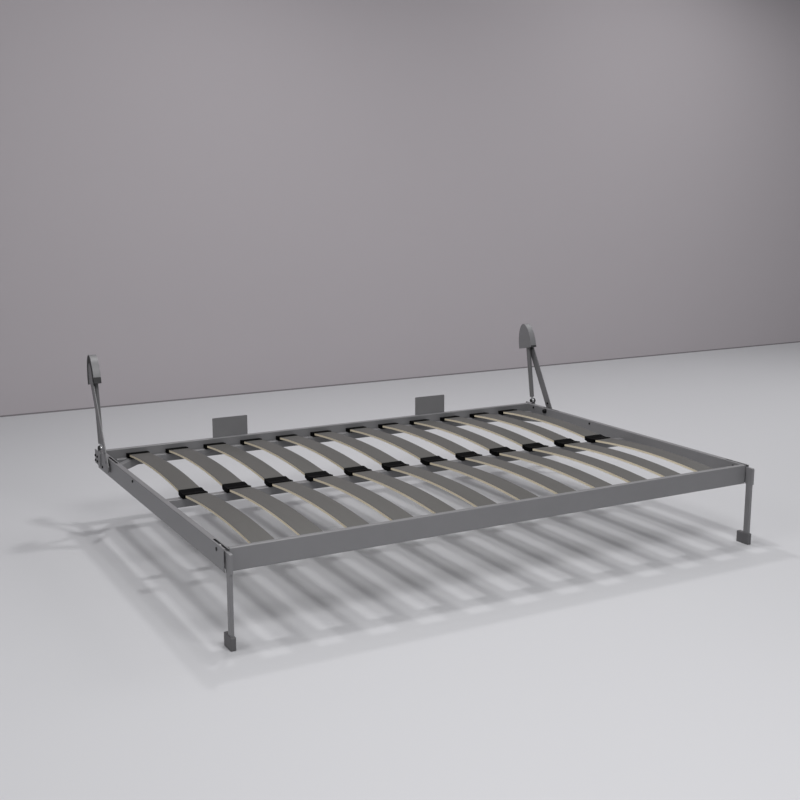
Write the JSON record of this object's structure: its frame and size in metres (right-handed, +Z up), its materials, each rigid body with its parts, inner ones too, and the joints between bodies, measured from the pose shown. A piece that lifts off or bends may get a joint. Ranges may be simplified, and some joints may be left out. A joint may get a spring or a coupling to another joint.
{
  "type": "fold down wall bed mechanism",
  "caption": "Slatted steel bed frame that folds up to a wall on two side arms, with gas struts under pressed covers, folding front legs and mattress stops.",
  "frame": {"origin": "on the floor, at the centre of the bounding box of the lowered bed", "axes": "+X along the bed from left to right seen from the room, +Y from the room to the wall, +Z up"},
  "size_m": [2.058, 1.4936, 0.6663],
  "materials": {
    "coated_steel": "grey powder coat, low sheen",
    "cover_plastic": "grey powder coat on a pressed sheet",
    "zinc_steel": "zinc plated",
    "black_fasteners": "black oxide",
    "nylon": "black nylon",
    "holder_plastic": "moulded black, fine grain",
    "foot_plastic": "moulded dark grey",
    "chromed_rod": "hard chromed and polished",
    "strut_paint": "grey paint, low sheen",
    "slat_plywood": "grey film faced laminated birch, bare edges"
  },
  "bodies": {
    "arms": {"arm_left": "coated_steel", "arm_right": "coated_steel", "cover_left": "cover_plastic", "cover_right": "cover_plastic", "pivot_pins": "black_fasteners", "pivot_nuts": "black_fasteners"},
    "frame": {"rail_left": "coated_steel", "rail_right": "coated_steel", "rail_front": "coated_steel", "rail_back": "coated_steel", "centre_beam": "coated_steel", "ledge_front": "coated_steel", "ledge_back": "coated_steel", "corner_braces": "coated_steel", "mattress_stops": "coated_steel", "strut_bracket_left": "coated_steel", "strut_bracket_right": "coated_steel", "strut_pins": "black_fasteners", "leg_pins": "black_fasteners", "pivot_bushes": "nylon", "rail_bolts": "black_fasteners", "slat_holders_back": "holder_plastic", "slat_holders_centre": "holder_plastic", "slat_holders_front": "holder_plastic", "slat_back_01": "slat_plywood", "slat_back_02": "slat_plywood", "slat_back_03": "slat_plywood", "slat_back_04": "slat_plywood", "slat_back_05": "slat_plywood", "slat_back_06": "slat_plywood", "slat_back_07": "slat_plywood", "slat_back_08": "slat_plywood", "slat_back_09": "slat_plywood", "slat_back_10": "slat_plywood", "slat_back_11": "slat_plywood", "slat_back_12": "slat_plywood", "slat_front_01": "slat_plywood", "slat_front_02": "slat_plywood", "slat_front_03": "slat_plywood", "slat_front_04": "slat_plywood", "slat_front_05": "slat_plywood", "slat_front_06": "slat_plywood", "slat_front_07": "slat_plywood", "slat_front_08": "slat_plywood", "slat_front_09": "slat_plywood", "slat_front_10": "slat_plywood", "slat_front_11": "slat_plywood", "slat_front_12": "slat_plywood"},
    "strut_rod_left": {"strut_rod_left": "chromed_rod", "strut_eye_left": "zinc_steel"},
    "strut_tube_left": {"strut_tube_left": "strut_paint", "strut_top_pin_left": "zinc_steel"},
    "leg_left": {"leg_left": "coated_steel", "foot_left": "foot_plastic"},
    "strut_rod_right": {"strut_rod_right": "chromed_rod", "strut_eye_right": "zinc_steel"},
    "strut_tube_right": {"strut_tube_right": "strut_paint", "strut_top_pin_right": "zinc_steel"},
    "leg_right": {"leg_right": "coated_steel", "foot_right": "foot_plastic"}
  },
  "joints": [
    {"name": "fold", "type": "hinge", "parent": "arms", "child": "frame", "pos_m": [0, 0.52322, 0.2825], "axis": [-1, 0, 0], "range_deg": [0, 90]},
    {"name": "strut_swing_left", "type": "hinge", "parent": "frame", "child": "strut_rod_left", "pos_m": [-1.0132, 0.64522, 0.3105], "axis": [1, 0, 0], "range_deg": [0, 81.5]},
    {"name": "strut_stroke_left", "type": "slide", "parent": "strut_rod_left", "child": "strut_tube_left", "axis": [0, 0.16, 0.9871], "range_m": [0, 0.16832]},
    {"name": "leg_fold_left", "type": "hinge", "parent": "frame", "child": "leg_left", "pos_m": [-1.01, -0.65378, 0.2805], "axis": [1, 0, 0], "range_deg": [0, 84]},
    {"name": "strut_swing_right", "type": "hinge", "parent": "frame", "child": "strut_rod_right", "pos_m": [1.0132, 0.64522, 0.3105], "axis": [1, 0, 0], "range_deg": [0, 81.5]},
    {"name": "strut_stroke_right", "type": "slide", "parent": "strut_rod_right", "child": "strut_tube_right", "axis": [0, 0.16, 0.9871], "range_m": [0, 0.16832]},
    {"name": "leg_fold_right", "type": "hinge", "parent": "frame", "child": "leg_right", "pos_m": [1.01, -0.65378, 0.2805], "axis": [1, 0, 0], "range_deg": [0, 84]}
  ],
  "couplings": [
    {"joint": "strut_swing_left", "follows": "fold", "ratio": 0.90549},
    {"joint": "strut_stroke_left", "follows": "fold", "m_per_rad": 0.10709},
    {"joint": "leg_fold_left", "follows": "fold", "ratio": 0.93333},
    {"joint": "strut_swing_right", "follows": "fold", "ratio": 0.90549},
    {"joint": "strut_stroke_right", "follows": "fold", "m_per_rad": 0.10709},
    {"joint": "leg_fold_right", "follows": "fold", "ratio": 0.93333}
  ]
}
